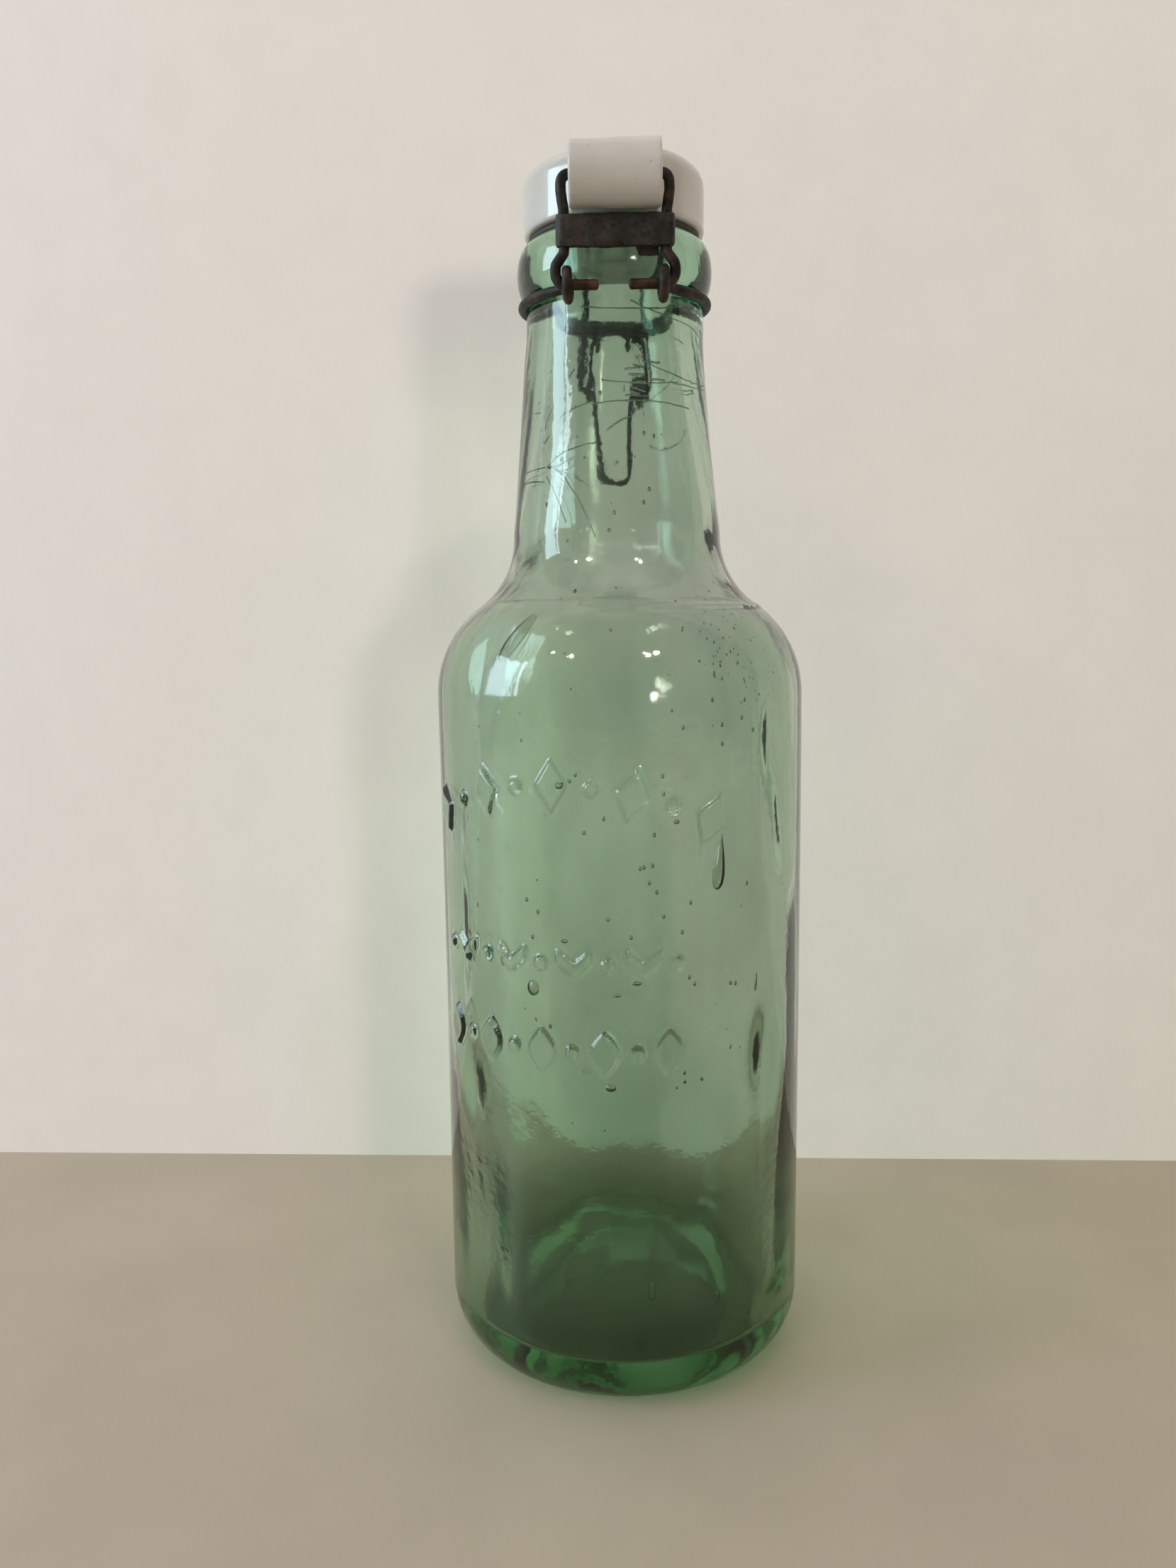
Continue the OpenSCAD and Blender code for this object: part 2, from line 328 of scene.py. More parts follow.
def outer_radius(z):
    """Radius of the outside between the heel and the lip."""
    z = np.asarray(z, float)
    heel = FOOT_R + (BODY_R - FOOT_R) * quarter_round(z, 0, HEEL_UP)
    dome = SHOULDER_X + np.sqrt(np.clip(SHOULDER_ROUND ** 2 - (z - SHOULDER_Z) ** 2, 0, None))
    hollow = FILLET_X - np.sqrt(np.clip(FILLET ** 2 - (z - FILLET_Z) ** 2, 0, None))
    up = np.clip((NECK_TOP_Z - z) / (NECK_TOP_Z - FILLET_Z), 0, 1)
    neck = NECK_TOP_R + (NECK_FOOT_R - NECK_TOP_R) * up ** 1.4
    r = np.where(z < HEEL_UP, heel, BODY_R)
    r = np.where(z > SHOULDER_Z, dome, r)
    r = np.where(z > MEET_Z, hollow, r)
    blend = smoothstep(FILLET_Z - 5, FILLET_Z + 5, z)
    foot = np.where(z < FILLET_Z, hollow, NECK_FOOT_R)
    r = np.where(z > FILLET_Z - 5, foot * (1 - blend) + neck * blend, r)
    groove = NECK_TOP_R - 0.3 * smoothstep(NECK_TOP_Z, NECK_TOP_Z + 1.9, z)
    bead = 20.0 + 2.75 * np.sqrt(np.clip(1 - ((z - BEAD_Z) / (LIP - BEAD_Z)) ** 2, 0, None))
    return np.where(z > NECK_TOP_Z, np.maximum(groove, bead), r)


def inner_radius(z):
    """Radius of the hollow between its floor and the lip."""
    z = np.asarray(z, float)
    corner = WELL_R + CORNER * quarter_round(z, FLOOR_Z, FLOOR_Z + CORNER)
    r = np.where(z < FLOOR_Z + CORNER, corner, HOLLOW_R)
    pooled = 35.6 + 4.8 * smoothstep(14, 82, z)
    r = np.where(z < 90, np.minimum(r, pooled), r)
    steps = (-9, -6, -3, 0, 3)
    shell = sum(outer_radius(np.clip(z + step, 0, 247)) for step in steps) / len(steps) - WALL
    r = np.where(z > SHOULDER_Z - 6, np.minimum(HOLLOW_R, shell), r)
    rounded_lip = np.interp(z, [LIP - 1.2, LIP - 0.4, LIP], [0, 0.3, 1.1])
    mouth = MOUTH_R + 4.1 * (1 - smoothstep(214, 261, z)) + rounded_lip
    throat = smoothstep(206, 236, z)
    return r * (1 - throat) + np.minimum(r, mouth) * throat


# ---- the moulded ornament
# rows: the two motifs that take turns, middle and step in degrees, height, and how far the arch falls
ORNAMENT = [(("lozenge", "bead"), -20, 11.4, 143.6, 8.2),
            (("bead", "chevron"), -24, 9.8, 104.6, 0),
            (("leaf", "bead"), -24, 9.2, 85.0, 0)]
PER_ROW = 9
ARCH_SPAN = 46.0


def motif_gap(x, y, kind):
    """Distance in mm outside a solid moulded motif, 0 inside it."""
    if kind == "lozenge":
        return np.maximum(np.abs(x) / 3.0 + np.abs(y) / 4.7 - 1, 0) * 2.5
    if kind == "leaf":
        half_width = 2.6 * np.cos(np.clip(y / 4.6, -1, 1) * math.pi / 2)
        return np.maximum(np.abs(x) - half_width, 0) + np.maximum(np.abs(y) - 4.6, 0)
    if kind == "chevron":
        bar = np.abs(y - np.abs(x) * 0.8 + 1.2) * 0.78
        return np.maximum(bar - 0.8, 0) + np.maximum(np.abs(x) - 3.4, 0)
    return np.maximum(np.hypot(x, y) - 1.0, 0)


def ornament(degs, z):
    """Height of the relief in mm, 0 to 1: an arched row of lozenges and beads over two straight rows."""
    per_degree = math.radians(1) * BODY_R
    gap = np.full(np.broadcast(degs, z).shape, 9.0)
    for kinds, middle, step, height, fall in ORNAMENT:
        for i in range(PER_ROW):
            away = (i - PER_ROW // 2) * step
            x = (degs - middle - away) * per_degree
            y = z - height + fall * (away / ARCH_SPAN) ** 2
            tilt = math.atan2(-2 * fall * away / ARCH_SPAN ** 2, per_degree)
            across = x * math.cos(tilt) + y * math.sin(tilt)
            up = y * math.cos(tilt) - x * math.sin(tilt)
            gap = np.minimum(gap, motif_gap(across, up, kinds[i % 2]))
    return 1 - smoothstep(0.0, 1.05, gap)


# ---- the glass's surfaces
# places where the inside wall swells: degrees, height, spread in degrees and mm, rise
WELTS = [(53, 152, 5, 13, 1.35), (58, 141, 4, 8, 0.8), (60, 130, 5, 11, 1.0), (50, 79, 6.5, 10, 1.9),
         (-62, 110, 5, 17, 1.1), (-56, 72, 6, 8, 1.2), (-46, 168, 7, 8, 0.9), (44, 170, 6, 8, 0.9),
         (-8, 112, 12, 20, 0.7), (24, 67, 14, 10, 1.1), (-34, 66, 9, 8, 0.7), (-8, 57, 16, 12, -0.6),
         (120, 60, 16, 22, 1.4), (205, 110, 14, 30, 1.2), (160, 45, 18, 14, 1.3), (188, 34, 12, 8, 1.0)]

# columns of the outside's grid: closer across the ornament
OUTER_DEGS = np.concatenate([np.arange(-72, 45, 0.6), np.arange(45, 288, 3.0)])
# rings of the outside's grid: closer over the heel, the ornament, the shoulder seam and the finish
OUTER_ROWS = np.concatenate([
    HEEL_UP * (1 - np.cos(np.linspace(0.17, math.pi / 2, 12))), np.arange(15, 78, 3),
    np.arange(78.5, 110.5, 0.6), np.arange(111, 129, 2), np.arange(130, 152.5, 0.6),
    np.arange(153.5, 179, 1.7), np.arange(179.6, 186, 0.4), np.arange(187, 205, 1.5),
    np.arange(206, 247.5, 2.2), np.linspace(NECK_TOP_Z - 0.4, LIP, 24)])
UNDER_RADII = [0.6, 4, 8, 12, 16, 20, 23, 25.5, 27.5, 28.6, 30, 31.5, 33]

INNER_DEGS = np.arange(0, 360, 2.0)
INNER_ROWS = np.concatenate([
    FLOOR_Z + CORNER * (1 - np.cos(np.linspace(0.12, math.pi / 2, 10))), np.arange(20, 160, 3.0),
    np.arange(161, 250, 2.2), np.linspace(250.5, LIP, 10)])
WELL_RADII = [0.6, 4, 8, 12, 16, 20, 23.5, 26.5, 29, 30.6]

body_wave = waves(3, 10, 4, 0.035)
fine_wave = waves(5, 14, 26, 0.03)
neck_wave = waves(9, 10, 5, 0.09)
thick_wave = waves(21, 12, 5, 0.028)
streak_wave = waves(23, 16, 22, 0.018)
well_wave = waves(31, 9, 5, 0.2)


def outside(z, degs):
    """Ring of the outer wall, with its waves, its ornament and the seams left by the mould."""
    r = outer_radius(z) * np.ones_like(degs)
    r += band(z, 0, 14, 236, 247) * (0.22 * body_wave(degs, z) + 0.035 * fine_wave(degs, z))
    r += 0.22 * band(z, 198, 210, 240, 248) * neck_wave(degs, z)
    r += ornament(degs, z)
    shoulder_seam = 182.6 - 1.2 * np.cos(np.radians(degs - 30))
    r += 0.42 * np.exp(-((z - shoulder_seam) / 0.42) ** 2) * band(degs, 2, 14, 150, 170)
    for side_seam in (96, 268):
        r += 0.10 * np.exp(-((degs - side_seam) / 0.9) ** 2)
    return ring_of(r, z, degs)


def inside(z, degs):
    """Ring of the inner wall, swollen in places, always at least 1.3 mm under the outside."""
    r = inner_radius(z) * np.ones_like(degs)
    calmer_neck = 1 - 0.8 * smoothstep(186, 214, z)
    uneven = 0.85 * thick_wave(degs, z) + 0.30 * streak_wave(degs, z)
    r += band(z, 10, 22, 228, 246) * calmer_neck * uneven
    for deg, height, spread, tall, rise in WELTS:
        away = ((degs - deg + 180) % 360 - 180) / spread
        r -= rise * np.exp(-away ** 2 - ((z - height) / tall) ** 2)
    return ring_of(np.minimum(r, outer_radius(z) - 1.3), z, degs)


def under(radius, degs):
    """Ring of the underside: a push-up inside the resting ring."""
    up = PUSH_UP * math.cos(math.pi / 2 * min(radius / PUSH_R, 1)) ** 1.2
    wave = 0.25 * band(radius, 4, 20, 24, 28) * np.sin(np.radians(5 * degs))
    return ring_of(radius * (1 + 0.01 * np.sin(np.radians(3 * degs))), up + wave, degs)


def well(radius, degs):
    """Ring of the hollow's floor: it domes over the push-up, with a broken ridge round it."""
    up = FLOOR_Z + WELL_UP * math.cos(math.pi / 2 * radius / WELL_R) ** 1.5
    wave = 1.1 * well_wave(degs, radius) * band(radius, 3, 14, 27, 31)
    ridge = 0.8 * (1 - smoothstep(1.5, 5, abs(radius - 24.5)))
    broken = 0.4 + 0.6 * np.sin(np.radians(degs * 2 + 30)) ** 2
    return ring_of(radius * np.ones_like(degs), up + wave + ridge * broken, degs)


def strip(outer, outer_degs, inner, inner_degs):
    """Triangles between two rings of different steps, each given by its first vertex and its angles."""
    marks = [(float(deg) % 360, 0, outer + k) for k, deg in enumerate(outer_degs)]
    marks += [(float(deg) % 360, 1, inner + k) for k, deg in enumerate(inner_degs)]
    marks.sort()
    current = [max(mark for mark in marks if mark[1] == side)[2] for side in (0, 1)]
    faces = []
    for _, side, index in marks:
        faces.append((current[0], index, current[1]))
        current[side] = index
    return faces


def glass_wall():
    """The whole skin of the glass: the outside, the inside and the lip that joins them."""
    outer = [under(r, OUTER_DEGS) for r in UNDER_RADII] + [outside(z, OUTER_DEGS) for z in OUTER_ROWS]
    inner = [well(r, INNER_DEGS) for r in WELL_RADII] + [inside(z, INNER_DEGS) for z in INNER_ROWS]
    outer_columns = len(OUTER_DEGS)
    inner_columns = len(INNER_DEGS)
    first = len(outer) * outer_columns
    verts = list(np.concatenate(outer)) + list(np.concatenate(inner))
    faces = quads(len(outer), outer_columns) + quads(len(inner), inner_columns, first, inward=True)
    faces += fan(len(verts), 0, outer_columns) + flip(fan(len(verts) + 1, first, inner_columns))
    faces += strip(first - outer_columns, OUTER_DEGS, len(verts) - inner_columns, INNER_DEGS)
    verts += [np.array([0, 0, PUSH_UP]), np.array([0, 0, FLOOR_Z + WELL_UP])]
    return verts, faces


def mark_relief(piece):
    """Stores how steep the ornament is at every vertex, 0 to 1, as the attribute relief_edge, the mask of
    the glass's painted shade along the relief edges.
    """
    relief = np.stack([ornament(OUTER_DEGS, z) for z in OUTER_ROWS])
    first = len(UNDER_RADII) * len(OUTER_DEGS)
    steep = np.zeros(len(piece.data.vertices))
    steep[first:first + relief.size] = np.clip(4 * relief * (1 - relief), 0, 1).ravel()
    piece.data.attributes.new("relief_edge", "FLOAT", "POINT").data.foreach_set("value", steep)


# ---- bubbles and cracks inside the glass
# groups of seeds that stand out: degrees, height, spread in mm, how many
SEED_GROUPS = [(0, 130, 11, 7), (16, 116, 9, 6), (31, 102, 5, 4), (24, 79, 4, 3), (-26, 107, 12, 6),
               (20, 152, 14, 10), (0, 212, 12, 9)]
SEEDS = 270
SHOULDER_SEEDS = 60
SHARDS = 9

# fine cracks of the neck: from and to (degrees, height), then how far they bow upward in mm
CRACKS = [
    ((-80, 211), (-45, 213), 0.5), ((-45, 213), (-12, 217.5), 1.2), ((-45, 213), (-30, 214), -0.6),
    ((-45, 211), (-29, 200), 1), ((-38, 212.5), (-12, 197), 2.5), ((-68, 210), (-46, 210), 0.3),
    ((-60, 225.5), (-54, 225.5), 0), ((-43, 226), (-48, 221.5), 0.6), ((-44, 220), (-47, 218), 0),
    ((-36, 223.5), (-15, 226), 0.3), ((-15, 226), (50, 226), 0.5), ((-6, 220), (8, 223), 0.4),
    ((-9, 231), (42, 231.5), -0.8), ((22, 234.5), (54, 231.5), -0.5), ((54, 231.5), (78, 232), 0),
    ((37, 231), (77, 231.5), -0.3), ((-22, 247), (28, 246.5), -0.5), ((9, 248), (38, 245), -0.5),
    ((38, 245), (72, 242.5), 0.4), ((20, 246.5), (52, 249), -0.5), ((-31, 232), (-26, 234), 0),
    ((12, 227.5), (20, 227.5), 0), ((96, 240), (175, 235), -1.5), ((100, 225), (160, 224), -2),
    ((200, 214), (232, 216), 2)]


def blob(deg, z, depth, size, slant=0.0, drop=0.0, columns=14, rows=10, square=1.0):
    """A bubble so deep under the outer face, with size (across, tall, deep) in mm and its normals inward.

    drop narrows it towards the top, and a square below 1 fills out the corners of its cross-section.
    """
    angle = math.radians(deg)
    lean = math.atan2(outer_radius(z + 0.5) - outer_radius(z - 0.5), 1.0)
    out = np.array([math.sin(angle) * math.cos(lean), -math.cos(angle) * math.cos(lean), -math.sin(lean)])
    side = np.array([math.cos(angle), math.sin(angle), 0.0])
    up = np.cross(out, side)
    axes = np.array([side * math.cos(slant) + up * math.sin(slant),
                     up * math.cos(slant) - side * math.sin(slant), out])
    axes *= np.array(size)[:, None] / 2
    from_axis = outer_radius(z) - depth
    centre = np.array([math.sin(angle) * from_axis, -math.cos(angle) * from_axis, z])
    rings = []
    for t in math.pi * np.arange(1, rows) / rows:
        height = -math.cos(t)
        wide = math.sin(t) * (1 - drop * 0.5 * (height + 1))
        ring = []
        for p in 2 * math.pi * np.arange(columns) / columns:
            x, y = (math.copysign(abs(q) ** square, q) for q in (math.cos(p), math.sin(p)))
            ring.append(centre + np.array([wide * x, height, wide * y]) @ axes)
        rings.append(ring)
    return closed_form(rings, centre - axes[1], centre + axes[1])


def hair(start, end, bow, depth, radius, seed):
    """A fine crack from one (degrees, height) to another, bowed upward, its normals inward."""
    length = math.hypot((end[0] - start[0]) * 0.38, end[1] - start[1])
    t = np.linspace(0, 1, max(6, int(length / 0.8)) + 1)
    wander = np.cumsum(np.random.default_rng(seed).normal(0, 0.05, (2, len(t))), 1)
    degs = start[0] + (end[0] - start[0]) * t + 2 * wander[0]
    z = start[1] + (end[1] - start[1]) * t + 4 * bow * t * (1 - t) + wander[1]
    from_axis = outer_radius(z) - depth - 0.25 * np.sin(t * length * 0.8 + seed)
    verts, faces = tube_mesh(ring_of(from_axis, z, degs), radius, sides=5, wobble=0.25, seed=seed)
    return verts, flip(faces)


def large_bubbles():
    """A squarish blister, a drop, small rings and slits, and two bubbles in the heel."""
    return [
        blob(-34.6, 175.0, 1.3, (4.6, 13.4, 0.55), slant=-0.42, drop=0.3, columns=28, rows=24, square=0.42),
        blob(29.4, 126.0, 1.6, (4.6, 12.4, 1.7), slant=-0.10, drop=0.85, columns=24, rows=24),
        blob(-27.4, 98.4, 1.3, (2.9, 3.5, 1.0), columns=20, rows=16),
        blob(3.7, 100.5, 1.3, (2.2, 1.0, 0.9), columns=18),
        blob(-2.0, 97.8, 1.5, (1.5, 0.7, 0.7), columns=18),
        blob(-17.2, 109.6, 1.3, (1.6, 0.9, 0.8), columns=18),
        blob(-4.1, 77.0, 1.4, (2.3, 1.7, 0.9), columns=18),
        blob(-18.1, 143.6, 1.0, (1.4, 1.4, 0.9)),
        blob(-15.0, 144.5, 1.2, (0.9, 0.9, 0.7)),
        blob(15.5, 135.5, 1.1, (1.3, 0.9, 0.7)),
        blob(43.4, 97.3, 1.2, (1.0, 4.4, 0.7), slant=-0.1, drop=0.4),
        blob(-52.4, 104.5, 1.1, (1.2, 7.0, 0.7), slant=0.3),
        blob(-38.0, 103.4, 1.2, (1.0, 2.2, 0.7)),
        blob(8.0, 28.0, 5.5, (2.4, 4.4, 1.0), drop=0.6),
        blob(30.0, 24.0, 4.2, (1.0, 3.0, 0.8))]


def small_seeds():
    """Small bubbles in groups, then smaller ones all round, more of them on the right shoulder."""
    seeds = []
    rng = np.random.default_rng(19)
    for deg, z, spread, count in SEED_GROUPS:
        for across, up in rng.normal(0, spread, (count, 2)):
            seeds.append(blob(deg + 1.3 * across, z + 0.6 * up, 1.2, (0.75, 1.05, 0.7), columns=7, rows=6))
    rng = np.random.default_rng(17)
    for i in range(SEEDS):
        deg = rng.uniform(-180, 180)
        heights = [rng.uniform(20, 160), rng.uniform(150, 200), rng.uniform(196, 246)]
        z = rng.choice(heights, p=[0.5, 0.3, 0.2])
        if i < SHOULDER_SEEDS:
            deg = rng.normal(38, 9)
            z = rng.normal(171, 7)
        wide = 0.32 + 0.42 * rng.random() ** 3
        depth = rng.uniform(0.7, 1.9)
        size = (wide, wide * rng.uniform(1, 2.2), wide)
        seeds.append(blob(deg, z, depth, size, slant=rng.uniform(-0.3, 0.3), columns=6, rows=4))
    return seeds


def fine_cracks():
    """The long cracks of the neck and a stack of short thick ones."""
    hairs = [hair(*crack, depth=0.7 + 0.12 * (i % 4), radius=0.13 + 0.025 * (i % 3), seed=i)
             for i, crack in enumerate(CRACKS)]
    rng = np.random.default_rng(29)
    for i in range(SHARDS):
        start = (4 + 17 * rng.random(), 227.5 + 7.5 * i / (SHARDS - 1))
        end = (start[0] + rng.uniform(5, 11), start[1] + rng.uniform(-0.7, 0.5))
        hairs.append(hair(start, end, 0, depth=1.0, radius=0.24, seed=60 + i))
    return hairs


def make_glass():
    part = join([glass_wall()] + large_bubbles() + small_seeds() + fine_cracks())
    piece = new_piece("bottle_glass", part, "bottle", "glass_bottle")
    mark_relief(piece)
    return piece


# ---- porcelain cap and rubber ring
def revolve(profile, columns=96):
    """A closed turned form from (radius, height) points."""
    degs = np.arange(0, 360, 360 / columns)
    rings = [ring_of(np.full_like(degs, radius), z, degs) for radius, z in profile]
    return closed_form(rings, np.array([0, 0, profile[0][1]]), np.array([0, 0, profile[-1][1]]))


def rod(radius, half, sides=64, flare=0.0):
    """A rod along the bore's axis, its last millimetre wider by flare."""
    stations = [-half, 0.4 - half, -0.3 * half, 0.3 * half, half - 0.4, half]
    verts = []
    for x in stations:
        r = radius + (flare if abs(x) > half - 1 else 0)
        verts += [on_plane(x, BORE + r * np.array([math.cos(a), math.sin(a)]))
                  for a in 2 * np.pi * np.arange(sides) / sides]
    faces = quads(len(stations), sides, inward=True)
    faces += [tuple(range(sides)), tuple(reversed(range(len(verts) - sides, len(verts))))]
    return verts, faces


def prism(outline, half):
    """A solid from -half to half along X with the outline's (y, z) points."""
    count = len(outline)
    verts = [on_plane(x, point) for x in (-half, half) for point in outline]
    faces = [tuple(range(count)), tuple(reversed(range(count, 2 * count)))]
    return verts, faces + quads(2, count, inward=True)


def scratch_object(name, part):
    obj = mesh_object(name, part)
    point_normals_out(obj.data)
    return obj


def add_boolean(obj, other, operation):
    cut = obj.modifiers.new("boolean", "BOOLEAN")
    cut.operation = operation
    cut.object = other
    cut.solver = "EXACT"


def apply_modifiers(obj):
    """Applies the object's modifiers to its own mesh."""
    depsgraph = bpy.context.evaluated_depsgraph_get()
    depsgraph.update()
    mesh = bpy.data.meshes.new_from_object(obj.evaluated_get(depsgraph))
    obj.modifiers.clear()
    obj.data = mesh


def cap_profile():
    """The turned part of the cap: plug, flat seat, skirt, rounded edge and slightly domed top."""
    inner_edge = CAP_R - CAP_EDGE
    plug = [(0.5, LIP - 2.6), (9.8, LIP - 2.6), (10.6, LIP - 2.0), (11.0, LIP + 0.4), (11.1, CAP_Z)]
    skirt = [(CAP_R - 0.8, CAP_Z), (CAP_R - 0.2, CAP_Z + 0.3), (CAP_R, CAP_Z + 1), (CAP_R, CAP_Z + 5),
             (CAP_R, CAP_TOP - CAP_EDGE)]
    edge = [(inner_edge + CAP_EDGE * math.cos(a), CAP_TOP - CAP_EDGE + CAP_EDGE * math.sin(a))
            for a in np.linspace(0.12, 1.5, 9)]
    return plug + skirt + edge + [(12, CAP_TOP + 0.2), (6, CAP_TOP + 0.36), (1, CAP_TOP + 0.42)]


def make_uneven(mesh):
    """Hand-made: the barrel swells to one end, the top and the skirt are slightly uneven."""
    co = np.empty(len(mesh.vertices) * 3)
    mesh.vertices.foreach_get("co", co)
    co = co.reshape(-1, 3) / MM
    lug = smoothstep(-20.5, -24, co[:, 1])
    away = co[:, 1:] - BORE
    swell = 0.016 * co[:, 0] / BARREL_HALF + 0.012 * np.sin(co[:, 0] * 0.45 + 1.2)
    co[:, 1:] += away * (lug * smoothstep(3, 6, np.linalg.norm(away, axis=1)) * swell)[:, None]
    angle = np.arctan2(co[:, 0], -co[:, 1])
    skirt = smoothstep(17, 20, np.hypot(co[:, 0], co[:, 1])) * (1 - lug)
    skirt *= smoothstep(CAP_Z + 0.4, CAP_Z + 3, co[:, 2])
    out_of_round = 0.005 * np.sin(3 * angle + 0.6) + 0.004 * np.sin(2 * angle + co[:, 2] * 0.2)
    co[:, :2] *= (1 + skirt * out_of_round)[:, None]
    tilt = 0.12 * np.sin(co[:, 0] * 0.16 + 0.5) + 0.1 * np.sin(co[:, 1] * 0.2)
    co[:, 2] += smoothstep(CAP_Z + 9, CAP_Z + 14, co[:, 2]) * tilt
    mesh.vertices.foreach_set("co", (co * MM).ravel())
    mesh.update()


def make_cap():
    piece = scratch_object("cap_porcelain", revolve(cap_profile()))
    low = CAP_Z + 0.8
    web = [(BORE[0], low), (BORE[0] + 12, low), (BORE[0] + 12, low + 10), (BORE[0], low + 10)]
    nose = [(18, low), (22, low), (23.7, low + 0.7), (23.7, low + 2.45), (21.7, low + 2.7), (18, low + 2.7)]
    added = [rod(BARREL_R, BARREL_HALF, flare=0.12), prism(web, BARREL_HALF - 0.1), prism(nose, 6)]
    scratch = [scratch_object(f"added_{i}", part) for i, part in enumerate(added)]
    for other in scratch:
        add_boolean(piece, other, "UNION")
    apply_modifiers(piece)
    remesh = piece.modifiers.new("remesh", "REMESH")
    remesh.mode = "VOXEL"
    remesh.voxel_size = 0.30 * MM
    smooth = piece.modifiers.new("smooth", "SMOOTH")
    smooth.factor = 0.5
    smooth.iterations = 14
    apply_modifiers(piece)
    scratch.append(scratch_object("bore", rod(1.27, 14, sides=40)))
    add_boolean(piece, scratch[-1], "DIFFERENCE")
    apply_modifiers(piece)
    make_uneven(piece.data)
    for other in scratch:
        bpy.data.objects.remove(other, do_unlink=True)
    return finish_piece(piece, "cap", "porcelain_cap")


def make_seal():
    """The flat rubber ring, its outer rim bulging and a little uneven."""
    profile = [(11.15, -1.7), (11.4, -1.8), (15, -1.8), (18.8, -1.8), (19.5, -1.62), (19.85, -1.2),
               (19.95, -0.8), (19.8, -0.35), (19.4, -0.05), (15, 0), (11.3, 0), (11.15, -0.2)]
    degs = np.arange(0, 360, 2.0)
    uneven = waves(41, 8, 9, 0.4)
    rings = []
    for radius, up in profile + profile[:1]:
        rim = 0.18 * uneven(degs, CAP_Z + up) if radius > 18 else 0
        rings.append(ring_of(radius + rim, CAP_Z + up, degs))
    part = (np.concatenate(rings), quads(len(rings), len(degs)))
    return new_piece("seal_ring", part, "cap", "rubber_gasket")


# ---- wires and sheet
def make_collar():
    """The wire in the groove, its ends coiled into the front eyes, and the two rear eyes."""
    end = math.asin(EYE_X / RING_R)
    turns = np.linspace(end - math.pi / 2, 3 * math.pi / 2 - end, 220)[2:-2]
    arc = np.stack([RING_R * np.cos(turns), RING_R * np.sin(turns), GROOVE + 0.25 * np.sin(turns)], 1)

    def front_eye(side):
        turn = np.arange(-40, -345, -8)
        return coil(HINGE, FRONT_EYE_R, turn, side * (EYE_X - 0.15), side * (EYE_X + 0.25))

    def toward_eye(side):
        return np.array([side * (EYE_X - 0.2), -19.9, GROOVE - 1.1])

    path = front_eye(1)[::-1] + [toward_eye(1)] + list(arc) + [toward_eye(-1)] + front_eye(-1)
    parts = [tube_mesh(soften(path, 0.45), RING_WIRE, wobble=0.03, seed=1)]
    for side in (-1, 1):
        loop = [np.array([side * 1.6, 21.4, GROOVE]), np.array([side * 3.9, 21.9, GROOVE - 0.4])]
        loop += coil(PIVOT, REAR_EYE_R, np.arange(-215, 150, 12), side * 3.95, side * 5.92)
        loop += [np.array([side * 7.0, 21.3, GROOVE + 0.3]), np.array([side * 9.4, 19.6, GROOVE])]
        parts.append(tube_mesh(soften(loop, 0.4), RING_WIRE * 0.96, wobble=0.03, seed=5 + side))
    return new_piece("collar_wire", join(parts), "bottle", "neck_ring")


LEAN = math.atan2(HINGE[0] - BORE[0], BORE[1] - HINGE[1])
BAIL_LENGTH = float(np.linalg.norm(BORE - HINGE))


def on_bail(x, out, up):
    """A place in the bail's own plane, which stands on its hinge and leans forward to the cap's bore."""
    return np.array([x, HINGE[0] + out * math.cos(LEAN) - up * math.sin(LEAN),
                     HINGE[1] + out * math.sin(LEAN) + up * math.cos(LEAN)])


def make_bail():
    right = [(2.8, 0), (BOW_X, 0), (BOW_X - 0.2, 4), (LEG_X, 6.3), (LEG_X, 14.9), (TOP_X, 18.1),
             (TOP_X, BAIL_LENGTH)]
    left = [(3.6, 0), (BOW_X + 0.1, 0), (BOW_X - 0.1, 4), (LEG_X, 6.3), (LEG_X, 14.9), (TOP_X, 18.2),
            (TOP_X + 0.05, BAIL_LENGTH)]
    corners = [on_bail(x, 0, up) for x, up in right] + [on_bail(-x, 0, up) for x, up in reversed(left)]
    bends = [2.3, 1.7, 2, 3, 4, 1.8]
    part = tube_mesh(arc_path(corners, bends + bends[::-1]), BAIL_WIRE, seed=3)
    return new_piece("bail_wire", part, "bail", "hinge_bail")


def sheet_line():
    """The strip's line (x, out): from behind one leg round both, lapping over its start."""
    out = 1.75
    start = [(x, out) for x in np.linspace(LEG_X - 3, LEG_X, 8)]
    bend = np.radians(np.linspace(90, -90, 20))[1:]
    right = [(LEG_X + out * math.cos(a), out * math.sin(a)) for a in bend]
    front = [(x, -out) for x in np.linspace(LEG_X, -LEG_X, 50)[1:]]
    left = [(-LEG_X - out * math.cos(a), -out * math.sin(a)) for a in bend]
    lap = [(x, out + 0.56 * float(smoothstep(3.0, 6.0, x))) for x in np.linspace(-LEG_X, 9.4, 48)[1:]]
    return np.array(start + right + front + left + lap)


